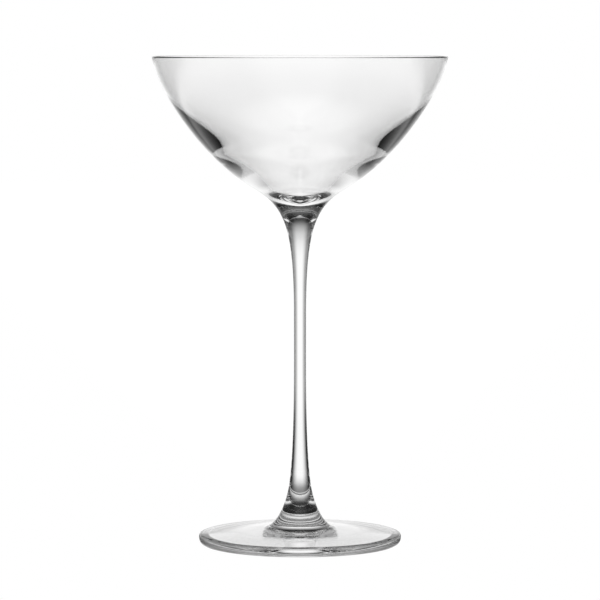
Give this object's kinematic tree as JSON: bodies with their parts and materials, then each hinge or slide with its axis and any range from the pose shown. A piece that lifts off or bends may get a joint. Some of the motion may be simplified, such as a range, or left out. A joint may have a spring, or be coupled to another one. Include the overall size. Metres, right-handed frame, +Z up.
{
  "type": "martini glass",
  "caption": "Stemmed cocktail glass: a wide coupe-shaped martini bowl on a slim drawn stem and a round foot, all clear crystal.",
  "frame": {"origin": "on the glass's axis, in the plane that it stands on", "axes": "+Z up along the axis of the stem, from the foot to the rim; the glass is round, so +X and +Y are any two level directions"},
  "size_m": [0.1088, 0.1088, 0.18],
  "materials": {
    "bowl_crystal": "fire-polished, clear and colourless",
    "stem_crystal": "fire-polished, clear and colourless, with faint draw lines",
    "foot_crystal": "fire-polished, clear and colourless"
  },
  "bodies": {
    "root": {"bowl": "bowl_crystal", "stem": "stem_crystal", "foot": "foot_crystal"}
  },
  "joints": []
}
